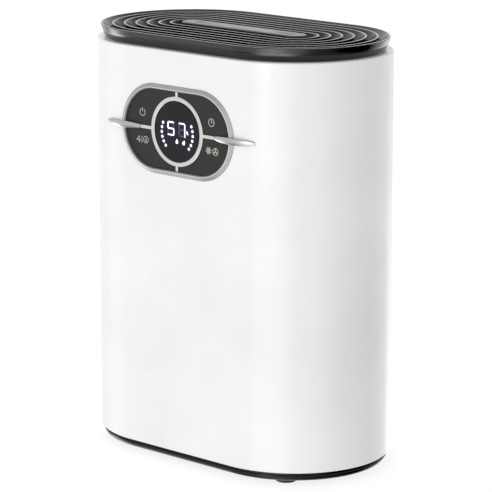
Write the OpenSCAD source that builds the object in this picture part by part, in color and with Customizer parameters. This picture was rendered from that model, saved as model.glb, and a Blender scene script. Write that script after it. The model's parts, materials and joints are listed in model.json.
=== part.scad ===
// Small thermoelectric dehumidifier: obround casing, top outlet grille, touch panel and a tank that
// slides out at the back. Millimetres, +Z up, front towards -Y, origin under the middle of the
// whole object's box, on the floor.

/* [Casing] */
// Width of the casing, end to end
body_w = 230; // [200:1:280]
// Depth of the casing, front to back
body_d = 133.5; // [126:0.5:165]
// Height of the white casing, without base and outlet
body_h = 281.5; // [262:0.5:340]
// Wall of the casing
wall = 2.4; // [1.8:0.1:3.2]
// Depth of the rear parts, from the back to the seam
rear_depth = 25; // [20:1:30]
// Height of the notches that open the seam
notch_h = 4.6; // [3:0.1:8]

/* [Base and feet] */
// Height of the black base under its groove
base_h = 4.5; // [4:0.1:9]
// Height of the groove between base and casing
groove_h = 2.2; // [0.8:0.1:3]
// Radius of a foot
foot_r = 7.7; // [5:0.1:8.8]
// Height that a foot stands out under the base
foot_proud = 2.8; // [1.5:0.1:5]

/* [Outlet] */
// Height of the outlet ring above the casing
ring_h = 9.3; // [8:0.1:14]
// Distance of the rim inside the casing's outline
rim_inset = 2.2; // [1.5:0.05:4.5]
// Distance of the ring's foot inside the casing's outline
neck_inset = 5.4; // [4.8:0.1:7]
// Number of louvres between rim and strip
louvres = 6; // [3:1:7]
// Thickness of a louvre, measured level
louvre_t = 1.5; // [1.2:0.1:2.5]
// Height of a louvre
louvre_h = 6.4; // [4:0.1:8]
// How far a louvre leans outwards over its height
louvre_lean = 3; // [0:0.1:5]

/* [Control panel] */
// Height of the panel's centre above the casing's lower edge
panel_up = 226.8; // [170:0.1:232]
// Half the straight length of the panel's outline
panel_l = 21; // [16:0.1:30]
// Outer radius of the bezel's ends
bezel_r = 31.25; // [29:0.05:34]
// Width of the bezel
bezel_w = 3.75; // [3:0.05:5]
// How far the bezel stands out of the casing
bezel_proud = 1.8; // [1.5:0.1:4]
// Outer radius of the ring round the display
dial_r = 24.1; // [20:0.1:26]
// Width of the ring round the display
dial_w = 2.9; // [2:0.1:4]
// Width of the bars that part the touch fields
bar_w = 2.2; // [1.5:0.1:3]
// Distance of a wing's tip from the panel's centre
wing_tip = 68.4; // [60:0.1:75]
// Distance of a wing's inner end from the panel's centre
wing_root = 34.2; // [30:0.1:38]
// Height of a wing at its widest
wing_h = 4.7; // [3:0.1:7]

/* [Water tank] */
// Height of the tank's white back panel
tank_h = 116.5; // [95:0.5:122]
// Width of the tank, which has to pass the rear opening
tank_w = 188; // [150:1:189]
// Wall of the tank
tank_wall = 2; // [1.5:0.1:3]
// Width of the finger pocket
grip_w = 84; // [60:1:88]
// Height of the finger pocket
grip_h = 24; // [18:1:30]
// How far the tank pulls out
tank_travel = 140; // [130:1:180]

/* [Heat exchanger] */
// Width of the heat sinks
sink_w = 150; // [120:1:156]
// Height of the heat sinks
sink_h = 84; // [70:1:90]
// Depth of the cold sink with its fins
cold_d = 26; // [18:1:28]
// Depth of the hot sink with its fins
hot_d = 42; // [30:1:44]
// Side of a thermoelectric module
module_side = 40; // [30:1:40]
// Thickness of a thermoelectric module
module_t = 3.8; // [3.2:0.1:4.6]

/* [Fan] */
// Side of the fan's frame
fan_side = 92; // [76:1:92]
// Depth of the fan's frame
fan_d = 25; // [20:1:25.5]
// Distance of the fan's screw holes from its frame's sides
fan_hole_inset = 4.75; // [4:0.05:6]
// Number of fan blades
fan_blades = 7; // [5:1:9]
// Radius of the fan's hub
hub_r = 19; // [15:0.5:22]

/* [Power inlet] */
// Radius of the inlet's centre pin
inlet_pin_r = 1; // [0.8:0.05:1.3]
// Radius of the inlet's bore
inlet_bore_r = 2.9; // [2.5:0.05:3.2]
// Length of the inlet's centre pin
inlet_pin_len = 9; // [7:0.5:11]

/* [Hidden] */
$fn = 96;

eps = 0.01;          // overshoot of a cut
gap = 0.3;           // between pieces that are fixed or slide past each other
fit = 0.1;           // between a screw and its hole
pin_fit = 0.05;      // running clearance of a pin or shaft

// Plan of the casing
end_r = body_d / 2;
end_x = (body_w - body_d) / 2;
in_r = end_r - wall;
seam_y = end_r - rear_depth;

// Heights
base_z = foot_proud;
shoulder_z = base_z + base_h;
shell_z = shoulder_z + groove_h;
shell_top = shell_z + body_h;
rim_z = shell_top + ring_h;
panel_z = shell_z + panel_up;
tank_top = shell_z + tank_h;

// Outlet
ledge_t = 2.4;
ledge_in = 8.2;      // ledge's inner edge inside the casing's outline
skirt_t = 2;
skirt_d = 5;
rim_r = end_r - rim_inset;
pitch = rim_r / (louvres + 2);
strip_r = pitch - 0.6;
strip_t = 2.4;
louvre_top = rim_z - 0.4;
louvre_z = louvre_top - louvre_h;
rib_h = 2.4;
strip_z = rim_z + 0.2 - strip_t;

// Control panel: depths are measured out of the casing's flat front
front_y = -end_r;
face_out = 0.1;      // touch panel's face
face_t = 2;
lens_out = 0.3;
lens_t = 3;
dial_out = 0.6;
bezel_lip = 0.95;    // inner edge of the bezel's ridge
lip_drop = 0.65;
inner_r = bezel_r - bezel_w;
hole_r = inner_r + 1.9;
board_in = 9;        // control board behind the casing's front
board_t = 1.6;
carrier_t = 2;
wing_out = bezel_proud + 1.4;    // foremost point of a wing
key_x = 33;
key_z = 10;

// The box's middle is the origin: the wings stand out in front and nothing does at the back
body_y = wing_out / 2;

// Decks
column_x = end_x + 54;
column_y = 18;
column_r = 4.4;
screw_r = 1.4;
deck_r = in_r - 0.6;
deck_z = tank_top + 2.5;
deck_t = 2.5;
fan_z = shell_top - 14 - fan_d;
fan_top = fan_z + fan_d;
fan_holes = fan_side - 2 * fan_hole_inset;
fan_deck_t = 2.4;
tray_z = deck_z + deck_t;

// Power inlet
inlet_x = 30;
inlet_w = 9;
inlet_h = 11;
inlet_z = tray_z + 1.5 + inlet_h / 2;
inlet_mouth_y = end_r - wall - gap;
inlet_d = 13.5;
inlet_back = inlet_mouth_y - inlet_d;
inlet_floor = 2;

// Heat exchanger
hot_y = 18.4;        // plane between hot sink and modules
cold_y = hot_y + module_t;
tray_h = 9.5;
tray_front = cold_y - 1.5;
tray_back = inlet_back - gap;
sink_z = tray_z + 17;
sink_base = 5;
window_w = sink_w - 20;
window_h = sink_h - 20;
module_x = 32;
fin_t = 1.2;
lead_r = 0.9;
lead_xs = [for (s = [-1, 1], k = [-1, 1]) s * module_x + k * (module_side / 2 - 6)];
sink_mid_z = sink_z + sink_h / 2;
clamp_x = sink_w / 2 - 5;
clamp_z = sink_h / 2 - 5;

// Rear intake, in the cover's flat part
intake_w = 2 * end_x - 6;
intake_h = 86;
intake_z = sink_mid_z + 1.5;
slat_pitch = 6;
slat_t = 2.2;
frame_w = 3;

// Tank and its float
tank_z = shell_z + gap;
tank_r = in_r - 2.4;
tank_back = seam_y + 12;
rim_top = tank_top - 4.7;
lid_t = 2;
lid_top = rim_top + lid_t;
spout_y = (tray_front + tray_back) / 2;
inlet_hole_r = 9.5;
float_x = -62;
float_z = rim_top - 16;
float_pin_r = 1.5;
float_len = 38;
arm_w = 8;

// Rear cover's screws
rear_x = 80;
rear_zs = [deck_z + 18, fan_top - 22];
rear_boss_r = 4.2;
rear_y = end_at(rear_x, end_r);

// Main board, upright on the left
mb_x = -95;
mb_y = -14;
mb_w = 44;
mb_h = 78;
mb_z = deck_z + deck_t + 8;
mb_t = 1.6;
socket_w = 7.4;
riser_x = mb_x + 15;         // cables climb beside the board here
floor_z = tray_z + 3.5;      // and lie on the deck here

// Half depth of the casing's plan of end radius r, at a distance x from the middle
function end_at(x, r) = x <= end_x ? r : sqrt(r * r - (x - end_x) * (x - end_x));

// ---------------------------------------------------------------- shared shapes

module obround(l, r) {
    for (s = [-1, 1]) translate([s * l, 0]) circle(r);
    square([2 * l, 2 * r], center = true);
}

module obround_slab(l, r, z, h) {
    translate([0, 0, z]) linear_extrude(height = h) obround(l, r);
}

// Sweeps a profile round an obround: the profile's x is the distance from the middle line,
// its y the height
module around(l) {
    for (a = [0, 180]) rotate([0, 0, a]) {
        translate([l, 0, 0]) rotate([0, 0, -90]) rotate_extrude(angle = 180) children();
        translate([-l, 0, 0]) rotate([90, 0, 90]) linear_extrude(height = 2 * l) children();
    }
}

// Puts a shape drawn in the panel's own plan (x right, y up, z out of the front) on the front
module on_front(out = 0) {
    translate([0, front_y - out, panel_z]) rotate([90, 0, 0]) children();
}

module at_corners(x, y) {
    for (sx = [-1, 1], sy = [-1, 1]) translate([sx * x, sy * y, 0]) children();
}

// Pan-head screw with its head up, the underside of the head at z = 0
module screw(r, len, head_r = 2.8, head_h = 1.8) {
    difference() {
        union() {
            cylinder(r = head_r, h = head_h);
            translate([0, 0, -len]) cylinder(r = r, h = len + eps);
        }
        for (a = [0, 90]) rotate([0, 0, a])
            translate([-head_r * 0.6, -0.35, head_h * 0.5]) cube([head_r * 1.2, 0.7, head_h]);
    }
}

function unit(v) = v / norm(v);

// Directions square to a path, carried along it without a twist
function sides_of(dirs) =
    let (first = unit(cross(dirs[0], abs(dirs[0][2]) < 0.9 ? [0, 0, 1] : [0, 1, 0])))
    [for (i = 0, u = first; i < len(dirs);
          u = i + 1 < len(dirs) ? unit(u - (u * dirs[i + 1]) * dirs[i + 1]) : u, i = i + 1) u];

// Tube of radius r along points, as one closed polyhedron
module tube(points, r, sides = 6) {
    n = len(points);
    dirs = [for (i = [0:n - 1]) unit(points[min(i + 1, n - 1)] - points[max(i - 1, 0)])];
    side_of = sides_of(dirs);
    rings = [for (i = [0:n - 1], k = [0:sides - 1])
        let (a = 360 * k / sides, u = side_of[i], v = cross(dirs[i], u))
        points[i] + r * cos(a) * u + r * sin(a) * v];
    walls = [for (i = [0:n - 2], k = [0:sides - 1])
        [i * sides + k, i * sides + (k + 1) % sides,
         (i + 1) * sides + (k + 1) % sides, (i + 1) * sides + k]];
    first = [for (k = [sides - 1:-1:0]) k];
    last = [for (k = [0:sides - 1]) (n - 1) * sides + k];
    polyhedron(points = rings, faces = concat(walls, [first], [last]), convexity = 6);
}

// Points on a smooth curve through the given ones
function curve(p, steps = 3) = [
    for (i = [0:len(p) - 2], k = [0:steps - 1])
        let (t = k / steps, a = p[max(i - 1, 0)], b = p[i], c = p[i + 1],
             d = p[min(i + 2, len(p) - 1)])
        0.5 * (2 * b + (c - a) * t + (2 * a - 5 * b + 4 * c - d) * t * t
               + (3 * b - a - 3 * c + d) * t * t * t),
    p[len(p) - 1]
];

// ---------------------------------------------------------------- casing

module wall_profile() {
    round_r = 1.2;
    difference() {
        union() {
            translate([in_r, shell_z]) square([wall, body_h - round_r]);
            translate([end_r - ledge_in, shell_top - ledge_t])
                square([ledge_in - round_r, ledge_t]);
            translate([end_r - round_r, shell_top - round_r]) circle(round_r);
        }
        translate([end_r - 0.5, shell_z - eps]) polygon([[0, 0], [1, 0], [1, 1]]);
    }
}

module casing_wall() {
    around(end_x) wall_profile();
}

// Everything behind the seam plane
module behind(y) {
    translate([-body_w, y, -10]) cube([2 * body_w, body_d, 2 * body_h]);
}

// Short notches in the seam for opening it
module seam_notches(side) {
    for (s = [-1, 1], z = [tank_top + 20, shell_top - 18.5])
        translate([s * (end_x + sqrt(end_r * end_r - seam_y * seam_y)), seam_y + side * 0.4, z])
            cube([2.2, 1.2, notch_h], center = true);
}

module column(z0, z1) {
    for (sx = [-1, 1], sy = [-1, 1])
        translate([sx * column_x, sy * column_y, z0]) {
            cylinder(r = column_r, h = z1 - z0);
            translate([sx > 0 ? 0 : -column_rib(), -1, 0]) cube([column_rib(), 2, z1 - z0]);
        }
}

// Length of the rib from a column's axis into the casing's wall
function column_rib() = end_x + end_reach() - column_x;
function end_reach() = sqrt(in_r * in_r - (column_y + 1) * (column_y + 1)) + wall / 2;

module column_bores(z, depth) {
    at_corners(column_x, column_y) translate([0, 0, z]) cylinder(r = screw_r + fit, h = depth);
}

// Tabs that the rear cover's screws go into
module rear_tabs() {
    for (s = [-1, 1], z = rear_zs) {
        outer = end_x + sqrt(in_r * in_r - (seam_y - 1) * (seam_y - 1)) + wall / 2;
        translate([s > 0 ? rear_x - 6 : -outer, seam_y - 9, z - 5])
            cube([outer - rear_x + 6, 9 - gap, 10]);
    }
}

module front_shell() {
    upper_top = fan_top;
    color("white") difference() {
        union() {
            difference() {
                casing_wall();
                behind(seam_y);
                seam_notches(-1);
            }
            column(shell_z + 1, deck_z);
            column(upper_top - 14, upper_top);
            rear_tabs();
        }
        on_front(-wall - 1) linear_extrude(height = wall + 2) obround(panel_l, hole_r);
        column_bores(shell_z, 14);
        column_bores(deck_z - 12, 13);
        column_bores(upper_top - 10, 11);
        for (s = [-1, 1], z = rear_zs)
            translate([s * rear_x, seam_y - 10, z]) rotate([-90, 0, 0])
                cylinder(r = screw_r + fit, h = 12);
    }
}

module rear_cover() {
    color("white") difference() {
        union() {
            difference() {
                casing_wall();
                translate([-body_w, -body_d, -10])
                    cube([2 * body_w, body_d + seam_y + gap, 2 * body_h]);
                translate([-body_w, -body_d, -10])
                    cube([2 * body_w, 2 * body_d, tank_top + gap + 10]);
                seam_notches(1);
            }
            // screw bosses
            for (s = [-1, 1], z = rear_zs)
                translate([s * rear_x, seam_y + gap, z]) rotate([-90, 0, 0])
                    cylinder(r = rear_boss_r, h = rear_y - seam_y - 2);
            // shelf that closes the cover over the tank
            intersection() {
                obround_slab(end_x, in_r + 0.5, tank_top + gap, 1.6);
                translate([-body_w, end_r - 14, 0]) cube([2 * body_w, 14, body_h]);
            }
        }
        // intake opening
        translate([-intake_w / 2, in_r - 5, intake_z - intake_h / 2])
            cube([intake_w, wall + 10, intake_h]);
        // screw holes, with a well for each head
        for (s = [-1, 1], z = rear_zs) translate([s * rear_x, seam_y, z]) rotate([-90, 0, 0]) {
            cylinder(r = screw_r + fit, h = 40);
            translate([0, 0, 6]) cylinder(r = 3.1, h = 40);
        }
        // mouth of the power inlet
        translate([inlet_x, in_r - 1, inlet_z]) rotate([-90, 0, 0]) cylinder(r = 5, h = wall + 2);
    }
}

module rear_screws() {
    color("silver") for (s = [-1, 1], z = rear_zs)
        translate([s * rear_x, seam_y + 6, z]) rotate([-90, 0, 0]) screw(screw_r, 14);
}

// Louvred insert of the rear intake
module intake_grille() {
    w = intake_w - 2 * gap;
    h = intake_h - 2 * gap;
    n = floor((h - 2 * frame_w) / slat_pitch);
    first = -(n - 1) * slat_pitch / 2;
    color("white") translate([0, in_r - 1, intake_z]) {
        difference() {
            translate([-w / 2, 0, -h / 2]) cube([w, wall + 1, h]);
            translate([-w / 2 + frame_w, -1, -h / 2 + frame_w])
                cube([w - 2 * frame_w, wall + 3, h - 2 * frame_w]);
        }
        for (i = [0:n - 1]) translate([-w / 2 + frame_w - 0.5, 0, first + i * slat_pitch])
            rotate([90, 0, 90]) linear_extrude(height = w - 2 * frame_w + 1)
                polygon([[0, -slat_t / 2 + 1.2], [wall + 1, -slat_t / 2 - 0.6],
                         [wall + 1, slat_t / 2 - 0.6], [0, slat_t / 2 + 1.2]]);
        for (x = [-w / 6, w / 6]) translate([x - 1, 0.4, -h / 2 + frame_w / 2])
            cube([2, wall - 0.8, h - frame_w]);
    }
}

// ---------------------------------------------------------------- base

module base_profile() {
    foot_inset = 7;      // lower edge inside the casing's outline
    side_inset = 1.9;    // widest point inside the casing's outline
    groove_inset = 3;
    bulge = base_h - 0.8;
    polygon(concat(
        [[0, base_z], [end_r - foot_inset, base_z]],
        [for (a = [15:15:90]) [end_r - foot_inset + (foot_inset - side_inset) * sin(a),
                               base_z + bulge * (1 - cos(a))]],
        [[end_r - side_inset - 0.15, shoulder_z - 0.3], [end_r - side_inset - 0.5, shoulder_z],
         [end_r - groove_inset, shoulder_z], [end_r - groove_inset, shell_z],
         [end_r - 6.4, shell_z], [end_r - 6.4, base_z + 2.4], [0, base_z + 2.4]]));
}

module base() {
    rail_h = tank_z - gap - base_z - 2.4;
    color([0.05, 0.05, 0.05]) difference() {
        union() {
            around(end_x) base_profile();
            // rails under the tank
            for (x = [-60, -20, 20, 60]) translate([x - 1.5, -40, base_z + 2])
                cube([3, 40 + seam_y, rail_h + 0.4]);
            // pads under the casing's columns
            at_corners(column_x, column_y) translate([0, 0, base_z + 1])
                cylinder(r = column_r, h = shell_z + 1 - base_z - 1 - gap / 3);
            // upstand inside the casing, in front of the tank's way out
            difference() {
                translate([0, 0, shell_z - eps]) linear_extrude(height = 5) difference() {
                    obround(end_x, in_r - gap);
                    obround(end_x, in_r - gap - 1.6);
                }
                translate([-body_w, -end_r + 24, 0]) cube([2 * body_w, body_d, body_h]);
            }
        }
        // sockets of the feet
        feet_at() translate([0, 0, base_z - 1]) cylinder(r = foot_r - 1.6 + fit, h = 2.2);
        // screws, with a well for each head
        at_corners(column_x, column_y) translate([0, 0, base_z - 1]) {
            cylinder(r = screw_r + fit, h = 20);
            cylinder(r = 3.1, h = 4);
        }
    }
}

module feet_at() {
    at_corners(end_x + 29.2, end_r - 25.2) children();
}

module feet() {
    color([0.08, 0.08, 0.08]) feet_at() {
        rotate_extrude() polygon([
            [0, 0], [foot_r - 0.8, 0], [foot_r, 0.8], [foot_r, base_z],
            [foot_r - 1.6, base_z], [foot_r - 1.6, base_z + 1.1], [0, base_z + 1.1]]);
    }
}

module base_screws() {
    color("silver") at_corners(column_x, column_y)
        translate([0, 0, base_z + 3]) mirror([0, 0, 1]) screw(screw_r, 15);
}

// ---------------------------------------------------------------- outlet

module outlet_ring() {
    neck_r = end_r - neck_inset;
    lip = 1.4;
    skirt_r = end_r - ledge_in - gap;
    seat_z = louvre_z - rib_h;
    color([0.03, 0.03, 0.03]) around(end_x) polygon([
        [skirt_r - skirt_t, shell_top - skirt_d], [skirt_r, shell_top - skirt_d],
        [skirt_r, shell_top], [neck_r, shell_top], [neck_r + 0.5, shell_top + 1.3],
        [rim_r - 0.9, rim_z - 3.6], [rim_r, rim_z - 0.5], [rim_r - 0.4, rim_z],
        [rim_r - lip, rim_z], [rim_r - lip - 3.4, rim_z - 5.2],
        [rim_r - lip - 3.4, seat_z], [skirt_r - skirt_t, seat_z]]);
}

module louvre_profile(r, top, h, lean, t) {
    polygon([[r - t, top], [r, top], [r - lean, top - h], [r - lean - t, top - h]]);
}

module outlet_grille() {
    skirt_r = end_r - ledge_in - gap;
    frame_r = rim_r - 1.4 - 3.4 - gap;
    color([0.12, 0.12, 0.12]) {
        for (i = [1:louvres]) around(end_x)
            louvre_profile(rim_r - i * pitch, louvre_top, louvre_h, louvre_lean, louvre_t);
        // seat of the strip
        obround_slab(end_x, strip_r - 1.8, louvre_z - rib_h, strip_z - louvre_z + rib_h);
        // outer frame on the ring's seat
        difference() {
            obround_slab(end_x, frame_r, louvre_z - rib_h, rib_h + 0.8);
            obround_slab(end_x, frame_r - 2.4, louvre_z - rib_h - 1, rib_h + 3);
        }
        // ribs: across the straight part, then fanned round each end
        for (x = [-end_x, -end_x / 3, end_x / 3, end_x])
            translate([x - 0.9, -frame_r + 1, louvre_z - rib_h])
                cube([1.8, 2 * frame_r - 2, rib_h + 0.8]);
        for (s = [-1, 1], a = [-60, -30, 0, 30, 60]) translate([s * end_x, 0, louvre_z - rib_h])
            rotate([0, 0, s > 0 ? a : a + 180]) translate([0, -0.9, 0])
                cube([frame_r - 1, 1.8, rib_h + 0.8]);
    }
}

module outlet_strip() {
    top = strip_z + strip_t;
    color([0.7, 0.7, 0.7]) around(end_x)
        polygon([[0, strip_z], [strip_r - 0.8, strip_z], [strip_r - 0.1, strip_z + 0.7],
                 [strip_r, top - 0.6], [strip_r - 0.7, top], [0, top]]);
}

// ---------------------------------------------------------------- control panel

module panel_bezel() {
    ridge = inner_r + bezel_lip;
    color([0.75, 0.75, 0.75]) on_front() around(panel_l) polygon([
        [hole_r - gap, -4], [hole_r - gap, 0], [bezel_r, 0], [bezel_r - 0.15, 0.25],
        [ridge + 0.35, bezel_proud - 0.12], [ridge, bezel_proud], [ridge - 0.25, bezel_proud - 0.1],
        [inner_r + 0.1, bezel_proud - lip_drop], [inner_r, bezel_proud - lip_drop - 0.1],
        [inner_r, -4]]);
}

module dial_ring() {
    back = face_out;
    color([0.8, 0.8, 0.8]) on_front() {
        rotate_extrude() polygon([
            [dial_r - dial_w, back], [dial_r, back], [dial_r, dial_out - 0.2],
            [dial_r - 0.25, dial_out], [dial_r - dial_w + 0.25, dial_out],
            [dial_r - dial_w, dial_out - 0.2]]);
        // bars up and down to the bezel
        for (s = [-1, 1]) translate([-bar_w / 2, s > 0 ? dial_r - 0.4 : -inner_r + 0.15, back])
            cube([bar_w, inner_r - 0.15 - dial_r + 0.4, dial_out - back - 0.1]);
        // bars out to the wings
        for (s = [-1, 1]) translate([s > 0 ? dial_r - 0.4 : -wing_root + 0.15, -bar_w / 2, back])
            cube([wing_root - 0.15 - dial_r + 0.4, bar_w, dial_out - back - 0.1]);
    }
}

// Leaf-shaped wing: it rises out of the panel, passes over the bezel's ridge and comes down on
// the casing. A skin through sections, each with a soft ridge in front and nearly flat behind
module wing(s) {
    over = (inner_r + panel_l + bezel_lip - wing_root) / (wing_tip - wing_root);
    stations = concat([for (i = [0:8]) over * (1 - cos(90 * i / 8))],
                      [for (i = [1:12]) over + (1 - over) * sin(90 * i / 12)]);
    n = len(stations);
    m = 28;
    pts = [for (u = stations, k = [0:m - 1]) wing_point(u, 360 * k / m, over)];
    walls = [for (i = [0:n - 2], k = [0:m - 1]) let (a = i * m + k, b = i * m + (k + 1) % m)
        each [[a, a + m, b], [b, a + m, b + m]]];
    root = [for (k = [1:m - 2]) [0, k, k + 1]];
    tip = [for (k = [1:m - 2]) [(n - 1) * m, (n - 1) * m + k + 1, (n - 1) * m + k]];
    color([0.8, 0.8, 0.8]) on_front() mirror([s < 0 ? 1 : 0, 0, 0])
        polyhedron(points = pts, faces = concat(walls, root, tip), convexity = 4);
}

// Point of a wing's skin at u from its root (0) to its tip (1), at an angle round its section
function wing_point(u, angle, over) =
    let (c = cos(angle), s = sin(angle), e = 1.3,
         full = pow(sin(180 * (0.02 + 0.97 * u)), 0.3),
         half = wing_h / 2 * full,
         thick = 0.3 + 0.6 * full,
         mid = wing_front(u, over) - thick)
    [wing_root + 0.1 + (wing_tip - wing_root - 0.1) * u,
     half * sign(c) * pow(abs(c), e),
     mid + (s > 0 ? thick : -0.35 * thick) * pow(abs(s), e)];

// Foremost line of a wing, highest over the bezel's ridge
function wing_front(u, over) =
    let (low = u < over ? face_out + 0.75 : end_at(wing_tip, end_r) - end_r + 0.78,
         v = u < over ? 1 - u / over : (u - over) / (1 - over))
    wing_out - (wing_out - low) * v * v;

module left_wing() { wing(-1); }
module right_wing() { wing(1); }

module touch_panel() {
    color([0.16, 0.16, 0.16]) on_front(face_out - face_t) linear_extrude(height = face_t)
        difference() {
            obround(panel_l, inner_r - 0.15);
            circle(dial_r - dial_w + 0.1);
        }
}

module display_lens() {
    color([0.04, 0.04, 0.05]) on_front(lens_out - lens_t)
        cylinder(r = dial_r - dial_w - 0.2, h = lens_t);
}

module display_module() {
    back = lens_t - lens_out;
    color([0.9, 0.9, 0.9]) on_front(-board_in)
        translate([-17, -11, 0]) cube([34, 22, board_in - back]);
}

module panel_carrier() {
    back = face_t - face_out;
    color([0.1, 0.1, 0.1]) {
        on_front(-back - carrier_t) difference() {
            linear_extrude(height = carrier_t) difference() {
                obround(panel_l, inner_r - gap);
                square([36, 24], center = true);
            }
            translate([0, 0, carrier_t - 0.9]) cylinder(r = dial_r - dial_w + 0.4, h = 2);
            at_corners(key_x, key_z) translate([0, 0, -1]) cylinder(r = 4, h = 5);
            at_corners(18, 18) translate([0, 0, -1]) cylinder(r = screw_r + fit, h = 3);
        }
        on_front(-board_in) at_corners(18, 18) difference() {
            cylinder(r = 3, h = board_in - back - carrier_t + eps);
            translate([0, 0, -1]) cylinder(r = screw_r + fit, h = board_in);
        }
    }
}

module control_board() {
    color([0.1, 0.3, 0.2]) on_front(-board_in - board_t) difference() {
        translate([-42, -22, 0]) cube([84, 44, board_t]);
        at_corners(18, 18) translate([0, 0, -1]) cylinder(r = screw_r + fit, h = 4);
    }
}

module board_screws() {
    color("silver") on_front(-board_in - board_t) at_corners(18, 18)
        mirror([0, 0, 1]) screw(screw_r, 6.5);
}

// Springs that carry the touch fields' signal from the board to the panel's back
module touch_springs() {
    wire = 0.45;
    height = board_in - (face_t - face_out) - 0.2;
    turns = 3;
    steps = 10;
    color("gold") on_front(-board_in) at_corners(key_x, key_z) translate([0, 0, 0.1 + wire])
        tube([for (i = [0:turns * steps]) let (a = 360 * i / steps)
              [2.6 * cos(a), 2.6 * sin(a), (height - 2 * wire) * i / (turns * steps)]], wire, 5);
}

// ---------------------------------------------------------------- decks and heat exchanger

module mid_deck() {
    color([0.85, 0.85, 0.85]) difference() {
        obround_slab(end_x, deck_r, deck_z, deck_t);
        // way of the tray's spout
        translate([0, spout_y, deck_z - 1]) cylinder(r = 9, h = deck_t + 2);
        column_bores(deck_z - 1, deck_t + 2);
        // room for the rear cover's tabs and the power inlet
        translate([-body_w, seam_y + 18, deck_z - 1]) cube([2 * body_w, body_d, deck_t + 2]);
    }
    // stands that carry the partition, with a lip in front of it
    color([0.85, 0.85, 0.85]) for (s = [-1, 1]) translate([s * 92 - 5, hot_y - 3, tray_z - eps]) {
        cube([10, 3 - fit, tray_h + 12]);
        cube([10, 3 + module_t, tray_h + 1.5 + eps]);
    }
}

module deck_screws() {
    color("silver") at_corners(column_x, column_y) translate([0, 0, tray_z]) screw(screw_r, 10);
}

// Pan under the cold sink, with the spout that drips into the tank
module drip_tray() {
    w = sink_w + 4;
    d = tray_back - tray_front;
    rim = 1.6;
    pan = 6;
    bore = 5;
    color([0.8, 0.8, 0.82]) difference() {
        union() {
            translate([-w / 2, tray_front, tray_z]) cube([w, d, tray_h]);
            translate([0, spout_y, lid_top + 1]) cylinder(r = bore + 2, h = tray_z - lid_top);
        }
        translate([-w / 2 + rim, tray_front + rim, tray_z + pan])
            cube([w - 2 * rim, d - 2 * rim, tray_h]);
        // shallow funnel into the spout
        translate([0, spout_y, tray_z + 1.5])
            cylinder(r1 = bore, r2 = d / 2 - rim - 1, h = pan - 1.5 + eps);
        translate([0, spout_y, 0]) cylinder(r = bore, h = 2 * tray_z);
    }
}

// Upright wall between the cold air at the back and the warm air in front
module partition() {
    w = 2 * 104;
    bottom = tray_z + tray_h + 1.5;
    top = sink_z + sink_h + 0.7;
    color([0.75, 0.75, 0.75]) difference() {
        translate([-w / 2, hot_y, bottom]) cube([w, module_t, top - bottom]);
        lead_slots(bottom - 1);
        translate([-window_w / 2, hot_y - 1, sink_mid_z - window_h / 2])
            cube([window_w, module_t + 2, window_h]);
        // way of the air past the sinks' ends
        for (s = [-1, 1]) translate([s * 90 - 8, hot_y - 1, sink_z + 8])
            cube([16, module_t + 2, sink_h - 16]);
        clamp_bores(hot_y - 1, module_t + 2);
    }
}

module clamp_bores(y, len) {
    for (sx = [-1, 1], sz = [-1, 1])
        translate([sx * clamp_x, y, sink_mid_z + sz * clamp_z]) rotate([-90, 0, 0])
            cylinder(r = screw_r + fit, h = len);
}

// Comb-shaped extrusion: a base plate with upright fins
module comb(w, d, pitch_x) {
    n = floor((w - fin_t) / pitch_x);
    x0 = -n * pitch_x / 2;
    square_base = sink_base;
    translate([-w / 2, 0]) square([w, square_base]);
    for (i = [0:n]) translate([x0 + i * pitch_x - fin_t / 2, square_base - eps])
        square([fin_t, d - square_base + eps]);
}

module cold_sink() {
    color("silver") difference() {
        translate([0, cold_y, sink_z]) linear_extrude(height = sink_h) comb(sink_w, cold_d, 6);
        clamp_bores(cold_y - 1, sink_base + 2);
        for (sx = [-1, 1], sz = [-1, 1])
            translate([sx * clamp_x, cold_y + sink_base, sink_mid_z + sz * clamp_z])
                rotate([-90, 0, 0]) cylinder(r = 3.4, h = cold_d);
    }
}

module hot_sink() {
    color("silver") difference() {
        translate([0, hot_y, sink_z]) mirror([0, 1, 0]) linear_extrude(height = sink_h)
            comb(sink_w, hot_d, 5);
        clamp_bores(hot_y - sink_base - 4, sink_base + 5);
    }
}

module sink_screws() {
    color("silver") for (sx = [-1, 1], sz = [-1, 1])
        translate([sx * clamp_x, cold_y + sink_base, sink_mid_z + sz * clamp_z])
            rotate([-90, 0, 0]) screw(screw_r, sink_base + module_t + 4);
}

module thermo_modules() {
    color("white") for (s = [-1, 1])
        translate([s * module_x - module_side / 2, hot_y, sink_mid_z - module_side / 2]) {
            plate = 0.8;
            cube([module_side, plate, module_side]);
            translate([0, module_t - plate, 0]) cube([module_side, plate, module_side]);
            translate([1.5, plate - eps, 1.5])
                cube([module_side - 3, module_t - 2 * plate + 2 * eps, module_side - 3]);
        }
}

module module_gasket() {
    color([0.15, 0.15, 0.15]) difference() {
        translate([-window_w / 2 + gap, hot_y, sink_mid_z - window_h / 2 + gap])
            cube([window_w - 2 * gap, module_t, window_h - 2 * gap]);
        for (s = [-1, 1])
            translate([s * module_x - module_side / 2 - gap, hot_y - 1,
                       sink_mid_z - module_side / 2 - gap])
                cube([module_side + 2 * gap, module_t + 2, module_side + 2 * gap]);
        lead_slots(sink_z);
    }
}

// Slots on the warm side for the modules' leads, down from each module
module lead_slots(z) {
    for (x = lead_xs) translate([x - lead_r - gap, hot_y - 1, z])
        cube([2 * (lead_r + gap), 1 + 2 * (lead_r + gap), sink_mid_z - module_side / 2 - z]);
}

// ---------------------------------------------------------------- fan

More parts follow.
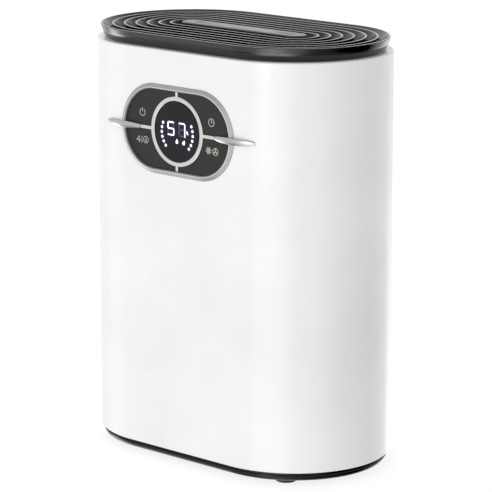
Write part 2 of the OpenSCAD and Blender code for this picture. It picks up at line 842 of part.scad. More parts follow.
module fan_duct() {
    z0 = sink_z + sink_h + 1;
    z1 = fan_z;
    t = 1.8;
    half_w = sink_w / 2 + 3;
    y0 = hot_y - hot_d - 3;
    y1 = hot_y - gap;
    half = fan_side / 2;
    color([0.2, 0.2, 0.2]) difference() {
        hull() {
            translate([-half_w, y0, z0]) cube([2 * half_w, y1 - y0, 0.8]);
            translate([-half, -half, z1 - 0.8]) cube([2 * half, 2 * half, 0.8]);
        }
        hull() {
            translate([-half_w + t, y0 + t, z0 - eps]) cube([2 * half_w - 2 * t, y1 - y0 - 2 * t, 0.1]);
            translate([-half + t, -half + t, z1]) cube([2 * half - 2 * t, 2 * half - 2 * t, 0.1]);
        }
    }
}

module fan_deck() {
    color([0.12, 0.12, 0.12]) difference() {
        obround_slab(end_x, deck_r, fan_top, fan_deck_t);
        translate([0, 0, fan_top - 1]) cylinder(r = fan_side / 2 - 2, h = fan_deck_t + 2);
        column_bores(fan_top - 1, fan_deck_t + 2);
        at_corners(fan_holes / 2, fan_holes / 2) translate([0, 0, fan_top - 1])
            cylinder(r = 2.2, h = fan_deck_t + 2);
        // room for the rear cover
        translate([-body_w, seam_y + 16, fan_top - 1]) cube([2 * body_w, body_d, 10]);
    }
}

module fan_deck_screws() {
    color("silver") at_corners(column_x, column_y)
        translate([0, 0, fan_top + fan_deck_t]) screw(screw_r, 9);
}

module fan_screws() {
    color("silver") at_corners(fan_holes / 2, fan_holes / 2)
        translate([0, 0, fan_top + fan_deck_t]) screw(1.9, 14, 3.6, 2.2);
}

module fan_frame() {
    half = fan_side / 2;
    bore = half - 1.6;
    cup_r = hub_r - 3;
    color([0.08, 0.08, 0.08]) translate([0, 0, fan_z]) {
        difference() {
            translate([-half, -half, 0]) cube([fan_side, fan_side, fan_d]);
            translate([0, 0, -1]) cylinder(r = bore, h = fan_d + 2);
            at_corners(fan_holes / 2, fan_holes / 2) translate([0, 0, -1])
                cylinder(r = 2.15, h = fan_d + 2);
            // the flanges stay, the frame's corners between them are open
            at_corners(half, half) translate([0, 0, 3.5])
                cylinder(r = 10, h = fan_d - 7);
        }
        // cup and struts of the motor, at the inlet side
        difference() {
            union() {
                cylinder(r = cup_r + 2, h = 2.4);
                for (a = [20:90:300]) rotate([0, 0, a]) translate([0, -1.4, 0])
                    cube([bore + 0.5, 2.8, 3.6]);
            }
            translate([0, 0, -1]) cylinder(r = bearing_r() + fit, h = 6);
        }
    }
}

function bearing_r() = 4;
function shaft_r() = 1.5;

module fan_stator() {
    color("peru") translate([0, 0, fan_z + 3.8]) difference() {
        union() {
            for (a = [0, 90]) rotate([0, 0, a])
                translate([-12, -3.2, 0]) cube([24, 6.4, 9]);
            cylinder(r = 7, h = 9);
            at_ring(4, 12.2) translate([-1.2, -6, 0.8]) cube([2.4, 12, 7.4]);
        }
        translate([0, 0, -1]) cylinder(r = bearing_r() + fit, h = 12);
    }
}

module at_ring(n, r) {
    for (i = [0:n - 1]) rotate([0, 0, 360 * i / n]) translate([r, 0, 0]) children();
}

module fan_bearing() {
    color("goldenrod") translate([0, 0, fan_z]) difference() {
        cylinder(r = bearing_r(), h = 14);
        translate([0, 0, -1]) cylinder(r = shaft_r() + pin_fit, h = 16);
    }
}

module fan_shaft() {
    color("silver") translate([0, 0, fan_z + 1]) cylinder(r = shaft_r(), h = fan_d - 4.5);
}

module fan_rotor() {
    z0 = fan_z + 4.6;
    top = fan_z + fan_d - 1.5;
    tip_r = fan_side / 2 - 3.4;
    skin = 1.8;
    chord_deg = 40;
    color([0.1, 0.1, 0.1]) {
        difference() {
            translate([0, 0, z0]) cylinder(r = hub_r, h = top - z0);
            translate([0, 0, z0 - 1]) cylinder(r = hub_r - skin, h = top - z0 - skin + 1);
        }
        // boss round the shaft
        difference() {
            translate([0, 0, fan_z + 15]) cylinder(r = 3.2, h = top - fan_z - 15);
            translate([0, 0, fan_z]) cylinder(r = shaft_r(), h = fan_d - 3.5 + eps);
        }
        for (i = [0:fan_blades - 1]) rotate([0, 0, 360 * i / fan_blades])
            blade(hub_r - 0.4, tip_r, z0 + 0.6, top - 0.4, chord_deg);
    }
}

// Pitched blade as a skin swept from its lower, leading edge to its upper, trailing edge
module blade(r0, r1, z0, z1, sweep) {
    t = 0.8;
    nu = 4;
    nv = 5;
    function at(u, v, side) = let (r = r0 + (r1 - r0) * u,
                                   a = sweep * (v - 0.5) * (0.8 + 0.25 * u) + 12 * u * u,
                                   z = z0 + t + (z1 - z0 - 2 * t) * v + side * t)
        [r * cos(a), r * sin(a), z];
    m = (nu + 1) * (nv + 1);
    pts = concat([for (i = [0:nu], j = [0:nv]) at(i / nu, j / nv, 1)],
                 [for (i = [0:nu], j = [0:nv]) at(i / nu, j / nv, -1)]);
    function id(i, j, k) = k * m + i * (nv + 1) + j;
    faces = concat(
        [for (i = [0:nu - 1], j = [0:nv - 1]) each
            [[id(i, j, 0), id(i, j + 1, 0), id(i + 1, j, 0)],
             [id(i + 1, j, 0), id(i, j + 1, 0), id(i + 1, j + 1, 0)],
             [id(i, j, 1), id(i + 1, j, 1), id(i, j + 1, 1)],
             [id(i + 1, j, 1), id(i + 1, j + 1, 1), id(i, j + 1, 1)]]],
        [for (i = [0:nu - 1]) each
            [[id(i, 0, 0), id(i + 1, 0, 0), id(i, 0, 1)],
             [id(i + 1, 0, 0), id(i + 1, 0, 1), id(i, 0, 1)],
             [id(i, nv, 0), id(i, nv, 1), id(i + 1, nv, 0)],
             [id(i + 1, nv, 0), id(i, nv, 1), id(i + 1, nv, 1)]]],
        [for (j = [0:nv - 1]) each
            [[id(0, j, 0), id(0, j, 1), id(0, j + 1, 0)],
             [id(0, j + 1, 0), id(0, j, 1), id(0, j + 1, 1)],
             [id(nu, j, 0), id(nu, j + 1, 0), id(nu, j, 1)],
             [id(nu, j + 1, 0), id(nu, j + 1, 1), id(nu, j, 1)]]]);
    polyhedron(points = pts, faces = faces, convexity = 4);
}

// ---------------------------------------------------------------- electronics

module main_board() {
    color([0.1, 0.35, 0.2]) difference() {
        translate([mb_x, mb_y - mb_w / 2, mb_z]) cube([mb_t, mb_w, mb_h]);
        mb_corners() translate([-1, 0, 0]) rotate([0, 90, 0]) cylinder(r = screw_r + fit, h = 5);
    }
    // stand on the deck
    color([0.85, 0.85, 0.85]) difference() {
        translate([mb_x - 4, mb_y - mb_w / 2 + 2, tray_z]) cube([4, mb_w - 4, 16]);
        mb_corners() translate([-6, 0, 0]) rotate([0, 90, 0]) cylinder(r = screw_r + fit, h = 8);
    }
}

module mb_corners() {
    for (s = [-1, 1]) translate([mb_x, mb_y + s * (mb_w / 2 - 5), mb_z + 4]) children();
}

module main_board_screws() {
    color("silver") mb_corners() translate([mb_t, 0, 0]) rotate([0, 90, 0]) screw(screw_r, 5);
}

// Capacitors, coil, chip and sockets on the main board
module board_parts() {
    x = mb_x + mb_t;
    color([0.1, 0.1, 0.2]) {
        for (z = [40, 51]) translate([x, mb_y - 12, mb_z + z]) rotate([0, 90, 0])
            cylinder(r = 4, h = 10);
        translate([x, mb_y + 6, mb_z + 34]) rotate([0, 90, 0]) difference() {
            cylinder(r = 7, h = 6);
            translate([0, 0, -1]) cylinder(r = 3, h = 8);
        }
        for (k = [0:4]) translate([x, socket_y(k) - socket_w / 2, mb_z + mb_h - 14])
            cube([6, socket_w, 9]);
        translate([x, mb_y - 17, mb_z + 14]) cube([2.4, 11, 16]);
    }
}

function socket_y(k) = mb_y + (k - 2) * (socket_w + 1);
function socket_top(k) = [mb_x + mb_t + 3, socket_y(k), mb_z + mb_h - 5];

module power_inlet() {
    color([0.05, 0.05, 0.05]) difference() {
        translate([inlet_x - inlet_w / 2, inlet_back, inlet_z - inlet_h / 2])
            cube([inlet_w, inlet_d, inlet_h]);
        translate([inlet_x, inlet_back + inlet_floor, inlet_z]) rotate([-90, 0, 0])
            cylinder(r = inlet_bore_r, h = inlet_d);
    }
    color("silver") translate([inlet_x, inlet_back + inlet_floor - 1, inlet_z])
        rotate([-90, 0, 0]) cylinder(r = inlet_pin_r, h = inlet_pin_len + 1);
    // foot on the deck
    color([0.05, 0.05, 0.05]) translate([inlet_x - inlet_w / 2, inlet_back, tray_z])
        cube([inlet_w, 8, inlet_z - inlet_h / 2 - tray_z + eps]);
}

module humidity_sensor() {
    color([0.1, 0.25, 0.5]) {
        translate([96 - 6, cold_y, sink_z + sink_h - 7]) cube([12, 1.6, 10]);
        translate([96 - 3, cold_y + 1.6 - eps, sink_z + sink_h - 5]) cube([6, 2.4, 6]);
    }
}

// Senses the float's magnet through the deck and the tank's lid
module level_sensor() {
    color([0.1, 0.1, 0.1]) translate([float_x + float_len - 6, -5, tray_z]) {
        cube([12, 10, 1.6]);
        translate([3, 3, 1.6 - eps]) cube([6, 4, 2.4]);
    }
}

// A cable along the points; its first and last stretches stay straight
module cable(p, r) {
    n = len(p);
    tube(concat([p[0]], curve([for (i = [1:n - 2]) p[i]]), [p[n - 1]]), r);
}

// The last points of a cable that climbs beside the board and turns down into a socket
function into_socket(k, dy = 0) = let (end = socket_top(k) + [0, dy, 0])
    [[riser_x, end[1], end[2] - 6], end + [5.5, 0, 6.5], end + [0.6, 0, 5], end + [0, 0, 2], end];

module display_cable() {
    start = [-30, front_y + board_in + board_t, panel_z - 12];
    end = socket_top(0);
    color([0.3, 0.3, 0.3]) cable([
        start, start + [0, 2, 0], start + [-3, 7, -0.5], [-48, -46, panel_z - 10],
        [-74, -40, panel_z - 6], end + [2, -2, 14], end + [0, 0, 6], end + [0, 0, 2], end], 1.3);
}

module fan_cable() {
    start = [-fan_side / 2, -14, fan_z + fan_d / 2];
    end = socket_top(1);
    color([0.1, 0.1, 0.1]) cable([
        start, start + [-2, 0, 0], start + [-12, -1, -4], start + [-26, -5, -20],
        end + [4, 1, 18], end + [0, 0, 6], end + [0, 0, 2], end], 1.1);
}

// Two leads of each thermoelectric module, down the slots and under the hot sink to the board.
// They lie one above the other on the way, and side by side where they climb.
module module_cables() {
    y = hot_y + lead_r + gap / 2;
    lane_y = y - 11.5;
    color([0.7, 0.1, 0.1]) for (i = [0:3]) {
        x = lead_xs[i];
        z = floor_z + 2 + 2.1 * i;
        climb = -15 + 2.3 * i;
        cable(concat([
            [x, y, sink_mid_z - module_side / 2], [x, y, sink_z + 8], [x, y, z + 5],
            [x, y - 2.5, z + 0.8], [x - 5, lane_y + 2, z], [x - 12, lane_y, z], [-66, lane_y, z],
            [-77, 2, z], [riser_x, climb + 4, z + 1.5], [riser_x, climb, z + 8],
            [riser_x, climb - 1, mb_z + 40]],
            into_socket(2, 2.3 * i - 3.45)), lead_r);
    }
}

// Leads of the humidity sensor and of the level sensor
module sensor_cables() {
    r = 0.8;
    humid = [94, cold_y + 3.2, sink_z + sink_h - 7];
    level = [float_x + float_len - 6, -2, tray_z + 1.2];
    color([0.85, 0.85, 0.85]) {
        cable(concat([humid, humid + [0, 0, -2], humid + [-5, 6, -16], [82, 30, sink_z + 20],
            [81, 28, floor_z + 6], [80, 14, floor_z], [68, 10, floor_z], [-60, 10, floor_z],
            [-79, 7, floor_z], [-84, 1, floor_z + 3], [-84, -2.5, mb_z + 10],
            [-82, -4.4, mb_z + 40]], into_socket(3, 1.2)), r);
        cable(concat([level, level + [-2, 0, 0], level + [-14, 2, 2.3], [-64, 4, floor_z],
            [-77, 1, floor_z], [-83.5, -4, floor_z + 3], [-84, -6, mb_z + 10],
            [-82, -7.4, mb_z + 40]], into_socket(3, -1.6)), r);
    }
}

// From the inlet along the cover, round the tray and up to the board
module power_cable() {
    start = [inlet_x - inlet_w / 2, inlet_back + 5, inlet_z];
    color([0.1, 0.1, 0.1]) cable(concat([
        start, start + [-3, 0, 0], start + [-14, 1, -2], [-30, inlet_back + 7, floor_z],
        [-62, inlet_back + 7, floor_z], [-75, 53.5, floor_z], [-82, 46, floor_z],
        [-83, 36, floor_z], [-83, 16, floor_z], [-82, 9, floor_z + 5], [riser_x, 5, mb_z + 12],
        [riser_x, 2.8, mb_z + 40]], into_socket(4)), 1.4);
}

// ---------------------------------------------------------------- water tank

module tank_plan(inset) {
    intersection() {
        obround(end_x, tank_r - inset);
        translate([-tank_w / 2 + inset, -body_d])
            square([tank_w - 2 * inset, body_d + tank_back - inset]);
    }
}

module tank_body() {
    color([0.8, 0.85, 0.9, 0.6]) difference() {
        translate([0, 0, tank_z]) linear_extrude(height = rim_top - tank_z) tank_plan(0);
        translate([0, 0, tank_z + tank_wall]) linear_extrude(height = rim_top)
            tank_plan(tank_wall);
    }
}

module tank_lid() {
    lip_h = 4;
    funnel_r = 15;
    lug_y = arm_w / 2 + gap;
    color([0.85, 0.87, 0.9]) difference() {
        union() {
            translate([0, 0, rim_top]) linear_extrude(height = lid_t) tank_plan(0);
            // lip inside the tank's rim
            translate([0, 0, rim_top - lip_h]) linear_extrude(height = lip_h + eps)
                difference() {
                    tank_plan(tank_wall + gap);
                    tank_plan(tank_wall + gap + 1.6);
                }
            // collar of the inlet
            translate([0, spout_y, rim_top - 6]) cylinder(r = inlet_hole_r + 1.6, h = 6 + eps);
            // lugs of the float's pin
            for (s = [-1, 1]) translate([float_x, s > 0 ? lug_y : -lug_y - 2.4, 0])
                translate([-4, 0, float_z - 4]) cube([8, 2.4, rim_top - float_z + 4 + eps]);
        }
        translate([0, spout_y, rim_top - 7]) cylinder(r = inlet_hole_r, h = 12);
        translate([float_x, 0, float_z]) rotate([90, 0, 0])
            cylinder(r = float_pin_r + pin_fit, h = 40, center = true);
    }
}

module float_pin() {
    color("silver") translate([float_x, 0, float_z]) rotate([90, 0, 0])
        cylinder(r = float_pin_r, h = arm_w + 2 * gap + 2 * 2.4 - 0.2, center = true);
}

module float_arm() {
    color([0.9, 0.9, 0.9]) difference() {
        union() {
            translate([float_x, 0, float_z]) rotate([90, 0, 0])
                cylinder(r = 3.4, h = arm_w, center = true);
            translate([float_x, -arm_w / 2, float_z - 1.2])
                cube([float_len - 12, arm_w, 2.4]);
        }
        translate([float_x, 0, float_z]) rotate([90, 0, 0])
            cylinder(r = float_pin_r + pin_fit, h = 40, center = true);
    }
}

module float_block() {
    bl = 26;
    bw = 24;
    bh = 14;
    color("white") difference() {
        translate([float_x + float_len - bl / 2, -bw / 2, float_z - bh + 4]) cube([bl, bw, bh]);
        // socket of the arm's end
        translate([float_x + float_len - bl / 2 - 1, -arm_w / 2 - fit, float_z - 1.2 - fit])
            cube([float_len, arm_w + 2 * fit, 20]);
        translate([float_x + float_len, 0, float_z - 5]) cylinder(r = 4.1, h = 10);
    }
}

module float_magnet() {
    color("dimgray") translate([float_x + float_len, 0, float_z - 5]) cylinder(r = 4, h = 3.5);
}

// White back of the tank: the casing's lower rear, with the finger pocket
module tank_panel() {
    pocket_z = tank_top - 14 - grip_h;
    hook = 5;            // height of the lip that the fingers hook behind
    skin = 2;
    ribs = 40;
    color("white") difference() {
        union() {
            difference() {
                around(end_x) difference() {
                    translate([in_r, shell_z]) square([wall, tank_h]);
                    translate([end_r - 0.5, shell_z - eps]) polygon([[0, 0], [1, 0], [1, 1]]);
                }
                translate([-body_w, -body_d, -10])
                    cube([2 * body_w, body_d + seam_y + gap, 2 * body_h]);
            }
            // box of the pocket, on the tank's back
            translate([-grip_w / 2 - skin, tank_back, pocket_z - skin])
                cube([grip_w + 2 * skin, in_r + wall / 2 - tank_back, grip_h + 2 * skin]);
            // ribs between the panel and the tank
            for (x = [-64, -22, 22, 64]) translate([x - 1, tank_back, shell_z + 6])
                cube([2, end_at(abs(x) + 1, in_r) + 0.5 - tank_back, ribs]);
        }
        // mouth, and the room behind it, higher by the lip
        translate([-grip_w / 2, tank_back + skin, pocket_z])
            cube([grip_w, in_r + wall - tank_back, grip_h - hook]);
        translate([-grip_w / 2, tank_back + skin, pocket_z])
            cube([grip_w, in_r - tank_back - skin, grip_h]);
    }
}

// ---------------------------------------------------------------- assembly

module place() {
    translate([0, body_y, 0]) children();
}

place() front_shell();
place() rear_cover();
place() rear_screws();
place() intake_grille();
place() base();
place() base_screws();
place() feet();
place() outlet_ring();
place() outlet_grille();
place() outlet_strip();
place() panel_bezel();
place() dial_ring();
place() left_wing();
place() right_wing();
place() touch_panel();
place() display_lens();
place() display_module();
place() panel_carrier();
place() control_board();
place() board_screws();
place() touch_springs();
place() display_cable();
place() mid_deck();
place() deck_screws();
place() drip_tray();
place() partition();
place() cold_sink();
place() hot_sink();
place() thermo_modules();
place() module_gasket();
place() sink_screws();
place() module_cables();
place() fan_duct();
place() fan_deck();
place() fan_deck_screws();
place() fan_frame();
place() fan_stator();
place() fan_bearing();
place() fan_screws();
place() fan_cable();
place() fan_rotor();
place() fan_shaft();
place() main_board();
place() board_parts();
place() main_board_screws();
place() power_inlet();
place() power_cable();
place() humidity_sensor();
place() level_sensor();
place() sensor_cables();
place() tank_body();
place() tank_panel();
place() tank_lid();
place() float_pin();
place() float_arm();
place() float_block();
place() float_magnet();
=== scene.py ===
"""Looks of a small dehumidifier: materials, lit display, touch icons, painted reflections on the
strip and studio.
"""

import json
import math

import bmesh
import bpy
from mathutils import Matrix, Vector


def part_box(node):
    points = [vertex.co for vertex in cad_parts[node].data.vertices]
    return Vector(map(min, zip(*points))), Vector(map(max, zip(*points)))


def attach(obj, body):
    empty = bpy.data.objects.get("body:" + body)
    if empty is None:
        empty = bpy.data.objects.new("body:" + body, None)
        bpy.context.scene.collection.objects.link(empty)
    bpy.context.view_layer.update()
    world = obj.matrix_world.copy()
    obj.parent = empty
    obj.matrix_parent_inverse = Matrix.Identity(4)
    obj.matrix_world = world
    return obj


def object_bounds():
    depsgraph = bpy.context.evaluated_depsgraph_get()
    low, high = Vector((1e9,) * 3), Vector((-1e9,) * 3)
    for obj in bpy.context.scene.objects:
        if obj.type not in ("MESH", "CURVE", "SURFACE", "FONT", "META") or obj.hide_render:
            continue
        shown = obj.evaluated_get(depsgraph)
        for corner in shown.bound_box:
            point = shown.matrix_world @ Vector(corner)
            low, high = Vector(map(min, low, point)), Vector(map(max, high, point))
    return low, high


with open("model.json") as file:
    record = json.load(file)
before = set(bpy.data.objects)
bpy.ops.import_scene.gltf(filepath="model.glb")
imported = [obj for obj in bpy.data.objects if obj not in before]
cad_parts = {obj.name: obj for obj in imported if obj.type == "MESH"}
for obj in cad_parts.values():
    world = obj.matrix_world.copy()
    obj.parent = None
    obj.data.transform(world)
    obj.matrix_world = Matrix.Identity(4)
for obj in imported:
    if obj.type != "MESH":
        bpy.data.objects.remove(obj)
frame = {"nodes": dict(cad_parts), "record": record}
CAD_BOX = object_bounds()
MM = 0.001

# Camera: azimuth 0 looks along +Y, and elevation is up from level
CAMERA_AZIMUTH = 42.27
CAMERA_ELEVATION = 12.7
CAMERA_DISTANCE = 1.926
CAMERA_LENS = 200.3
# The point looked at, from the spot on the floor under the middle of the outlet
CAMERA_AIM = Vector((0.0014, 0.0012, 0.1458))
CAMERA_SENSOR = 36
CAMERA_CLIP = 0.05

# Studio: the sky's strength, and lobes that brighten or dim it, each as azimuth, elevation,
# degrees to the full and to no effect, and amount
SKY_STRENGTH = 1.02
SKY_LOBES = (
    (124, 8, 26, 62, -0.46),
    (20, 78, 18, 50, -0.5),
    (-138, 15, 6, 22, 0.3),
    (-66, -12, 5, 20, 0.5),
    (13, -12, 8, 30, 1.5),
    (-86, -33, 4, 17, 4.0),
    (6, -55, 5, 24, 1.9),
    (-165, -26, 5, 19, 0.9),
    (-50, -46, 8, 22, -0.35),
    (112, -45, 30, 52, -0.9),
    (-42, -60, 10, 34, -0.55),
)
# The one softbox: name, azimuth, elevation, distance, size and power
SOFTBOX = ("strip_front", 8, 13, 1.7, (0.3, 1.1), 4.0)
# Floor: width, grey and its spread, roughness, and the glow that keeps shadows faint
FLOOR_SIZE = 30
FLOOR_GREY = 0.2
FLOOR_SPREAD = 0.01
FLOOR_ROUGHNESS = 0.9
FLOOR_GLOW = 0.84


# ---------------------------------------------------------------- materials

# The middle of noise's range, where most of its values lie
NOISE_LOW = 0.3
NOISE_HIGH = 0.7
# Noise scales, in features per metre: patches seen from afar, changes of gloss, and fine marks
PATCHES = 14
GLOSS_PATCHES = 45
METAL_GLOSS_PATCHES = 60
HAZE_PATCHES = 90
FINE_MARKS = 900
# How far the dark and light patches lie from a material's colour
PLASTIC_DARKER = 0.965
PLASTIC_LIGHTER = 1.03
METAL_DARKER = 0.93
GLOW_DARKER = 0.9
# Depth of the bumps
PLASTIC_BUMP_MM = 0.03
METAL_BUMP_MM = 0.01
CLEAR_BUMP_MM = 0.02
# Cosine to the front where bevelled plating turns from its darker sloping colour, which is painted
# shade, to its flat colour
PAINTED_SHADE_SLOPE_COSINE = 0.8
FLAT_COSINE = 0.985


def node_of(tree, kind, **values):
    """A new node with its attributes and input sockets set by name."""
    node = tree.nodes.new(kind)
    for name, value in values.items():
        if hasattr(node, name):
            setattr(node, name, value)
        else:
            node.inputs[name.replace("_", " ")].default_value = value
    return node


def start_material(name, colour, roughness, **sockets):
    """A principled material with its uniform values set on the shader's own sockets."""
    material = bpy.data.materials.new(name)
    material.use_nodes = True
    tree = material.node_tree
    shader = tree.nodes["Principled BSDF"]
    shader.inputs["Base Color"].default_value = (*colour, 1)
    shader.inputs["Roughness"].default_value = roughness
    for socket, value in sockets.items():
        shader.inputs[socket.replace("_", " ")].default_value = value
    return material, tree, shader


def noise(tree, scale, detail=2.0, stretch=(1, 1, 1)):
    """Noise over the object's own coordinates, in metres."""
    coords = node_of(tree, "ShaderNodeTexCoord")
    mapping = node_of(tree, "ShaderNodeMapping", Scale=stretch)
    texture = node_of(tree, "ShaderNodeTexNoise", Scale=scale, Detail=detail)
    tree.links.new(coords.outputs["Object"], mapping.inputs["Vector"])
    tree.links.new(mapping.outputs["Vector"], texture.inputs["Vector"])
    return texture.outputs["Fac"]


def vary_colour(tree, shader, factor, low, high, start=0.35, end=0.65):
    """The base colour runs from low to high as factor runs from start to end."""
    ramp = node_of(tree, "ShaderNodeValToRGB")
    ramp.color_ramp.elements[0].position = start
    ramp.color_ramp.elements[0].color = (*low, 1)
    ramp.color_ramp.elements[1].position = end
    ramp.color_ramp.elements[1].color = (*high, 1)
    tree.links.new(factor, ramp.inputs["Fac"])
    tree.links.new(ramp.outputs["Color"], shader.inputs["Base Color"])


def vary_roughness(tree, shader, factor, low, high):
    """The roughness runs from low to high over the middle of the factor's range."""
    spread = node_of(tree, "ShaderNodeMapRange")
    spread.inputs["From Min"].default_value = NOISE_LOW
    spread.inputs["From Max"].default_value = NOISE_HIGH
    spread.inputs["To Min"].default_value = low
    spread.inputs["To Max"].default_value = high
    tree.links.new(factor, spread.inputs["Value"])
    tree.links.new(spread.outputs["Result"], shader.inputs["Roughness"])


def add_bump(tree, shader, factors, depth_mm):
    """Adds bumps, one for each (factor, strength), on top of each other."""
    normal = None
    for factor, strength in factors:
        bump = node_of(tree, "ShaderNodeBump", Strength=strength, Distance=depth_mm * MM)
        tree.links.new(factor, bump.inputs["Height"])
        if normal:
            tree.links.new(normal, bump.inputs["Normal"])
        normal = bump.outputs["Normal"]
    tree.links.new(normal, shader.inputs["Normal"])


def moulded(name, colour, roughness, grain=1400, grain_strength=0.15, spread=0.03, **sockets):
    """Moulded plastic: slight unevenness in colour and gloss, and a fine tool grain."""
    material, tree, shader = start_material(name, colour, roughness, **sockets)
    broad = noise(tree, PATCHES, 3)
    fine = noise(tree, grain)
    low = [c * PLASTIC_DARKER for c in colour]
    high = [min(1, c * PLASTIC_LIGHTER) for c in colour]
    vary_colour(tree, shader, broad, low, high)
    gloss = noise(tree, GLOSS_PATCHES, 3)
    vary_roughness(tree, shader, gloss, roughness - spread, roughness + spread)
    add_bump(tree, shader, [(fine, grain_strength), (broad, 0.05)], PLASTIC_BUMP_MM)
    return material


def metallic(name, colour, roughness, stretch=(1, 1, 1), brush=FINE_MARKS, strength=0.12,
             spread=0.05):
    """Metal or metallised plastic, brushed along the axes where stretch is small."""
    material, tree, shader = start_material(name, colour, roughness, Metallic=1.0)
    lines = noise(tree, brush, 3, stretch)
    low = [c * METAL_DARKER for c in colour]
    vary_colour(tree, shader, lines, low, colour)
    gloss = noise(tree, METAL_GLOSS_PATCHES)
    vary_roughness(tree, shader, gloss, roughness - spread, roughness + spread)
    add_bump(tree, shader, [(lines, strength)], METAL_BUMP_MM)
    return material


def plating_with_painted_slope_shade(name, painted_shade_slope_colour, flat, roughness, metal, spread=0.04):
    """Satin metal plating, brighter where it faces front than on its slopes: the darker slopes are
    painted shade.
    """
    material, tree, shader = start_material(name, flat, roughness, Metallic=metal)
    coords = node_of(tree, "ShaderNodeTexCoord")
    front = node_of(tree, "ShaderNodeVectorMath", operation="DOT_PRODUCT")
    front.inputs[1].default_value = (0, -1, 0)
    tree.links.new(coords.outputs["Normal"], front.inputs[0])
    # Painted shade: the base colour darkens as the face turns away from the front
    vary_colour(tree, shader, front.outputs["Value"], painted_shade_slope_colour, flat, PAINTED_SHADE_SLOPE_COSINE, FLAT_COSINE)
    gloss = noise(tree, METAL_GLOSS_PATCHES)
    vary_roughness(tree, shader, gloss, roughness - spread, roughness + spread)
    add_bump(tree, shader, [(noise(tree, FINE_MARKS, 3), 0.1)], METAL_BUMP_MM)
    return material


def glowing(name, colour, glow, strength, roughness=0.35):
    """A lit mark of the display, or an unlit one given a faint painted glow, its own colour a
    little uneven.
    """
    material, tree, shader = start_material(name, colour, roughness)
    shader.inputs["Emission Color"].default_value = (*glow, 1)
    shader.inputs["Emission Strength"].default_value = strength
    low = [c * GLOW_DARKER for c in colour]
    vary_colour(tree, shader, noise(tree, FINE_MARKS), low, colour)
    return material


def clear_plastic(name, colour, roughness, low, high):
    """Clear tinted moulding with patches of haze, its roughness from low to high."""
    material, tree, shader = start_material(
        name, colour, roughness, IOR=1.49, Transmission_Weight=0.9)
    vary_roughness(tree, shader, noise(tree, HAZE_PATCHES, 3), low, high)
    add_bump(tree, shader, [(noise(tree, 500), 0.08)], CLEAR_BUMP_MM)
    return material


MATERIALS = {
    "casing_white": moulded("casing_white", (0.775, 0.775, 0.772), 0.3, 1600, 0.05, 0.02,
                            Coat_Weight=0.3, Coat_Roughness=0.12),
    "black_gloss": moulded("black_gloss", (0.006, 0.006, 0.0065), 0.18, 900, 0.03, 0.03,
                          Specular_IOR_Level=0.85),
    "black_satin": moulded("black_satin", (0.004, 0.004, 0.0045), 0.2, 1500, 0.04,
                           Specular_IOR_Level=0.28),
    "dark_grey_satin": moulded("dark_grey_satin", (0.019, 0.019, 0.0185), 0.45, 2200, 0.2,
                               Specular_IOR_Level=0.22),
    "display_black": moulded("display_black", (0.006, 0.006, 0.006), 0.25, 900, 0.02, 0.02,
                             Specular_IOR_Level=0.2),
    # Plating whose slopes carry painted shade in their colour
    "silver_plate": plating_with_painted_slope_shade("silver_plate", (0.2, 0.2, 0.195), (0.68, 0.68, 0.67), 0.4, 0.3),
    "dial_silver": metallic("dial_silver", (0.63, 0.63, 0.62), 0.3),
    "wing_silver": metallic("wing_silver", (0.46, 0.46, 0.45), 0.3),
    "strip_silver": metallic("strip_silver", (0.16, 0.16, 0.16), 0.38, (0.05, 1, 1)),
    # Painted reflection: the matt grey of the dark leaf-shaped marks on the strip
    "leaf_painted_reflection": moulded("leaf_painted_reflection", (0.18, 0.18, 0.18), 0.5, Specular_IOR_Level=0.1),
    "rubber_black": moulded("rubber_black", (0.02, 0.02, 0.02), 0.7, 900, 0.4),
    "inner_grey": moulded("inner_grey", (0.5, 0.51, 0.52), 0.5),
    "tank_clear": clear_plastic("tank_clear", (0.8, 0.88, 0.92), 0.12, 0.08, 0.2),
    "float_white": moulded("float_white", (0.8, 0.8, 0.78), 0.6, 700, 0.4),
    "steel": metallic("steel", (0.6, 0.6, 0.6), 0.3),
    "sink_aluminium": metallic("sink_aluminium", (0.75, 0.76, 0.77), 0.35, (1, 1, 0.04)),
    "module_ceramic": moulded("module_ceramic", (0.85, 0.85, 0.83), 0.45),
    "foam_black": moulded("foam_black", (0.03, 0.03, 0.03), 0.85, 500, 0.8),
    "circuit_green": moulded("circuit_green", (0.02, 0.12, 0.05), 0.35, 700, 0.2),
    "component_black": moulded("component_black", (0.03, 0.03, 0.032), 0.5),
    "bronze": metallic("bronze", (0.6, 0.4, 0.2), 0.45),
    "copper_coil": metallic("copper_coil", (0.6, 0.3, 0.15), 0.35, (1, 1, 12), 200, 0.6),
    "spring_gold": metallic("spring_gold", (0.8, 0.62, 0.3), 0.25),
    "magnet_dark": moulded("magnet_dark", (0.06, 0.06, 0.065), 0.5, 900, 0.4),
    "cable_black": moulded("cable_black", (0.02, 0.02, 0.02), 0.55),
    "cable_grey": moulded("cable_grey", (0.4, 0.4, 0.4), 0.55),
    "cable_red": moulded("cable_red", (0.4, 0.03, 0.02), 0.5),
    "icon_print": moulded("icon_print", (0.42, 0.41, 0.37), 0.6, 2500, 0.2),
    # Marks on the display: lit, the glow round them, and bars that are off, which have a faint
    # painted glow
    "display_lit": glowing("display_lit", (0.9, 0.92, 1.0), (0.93, 0.94, 1.0), 1.15),
    "display_halo": glowing("display_halo", (0.012, 0.01, 0.04), (0.05, 0.04, 0.2), 0.45),
    # Painted glow: the bars that are off still give a faint blue light
    "display_off_painted_glow": glowing("display_off_painted_glow", (0.02, 0.018, 0.06), (0.12, 0.11, 0.3), 0.22),
}

# Nodes whose finish differs from the rest of their slot
FINISHES = {"dial_ring": "dial_silver", "left_wing": "wing_silver", "right_wing": "wing_silver"}


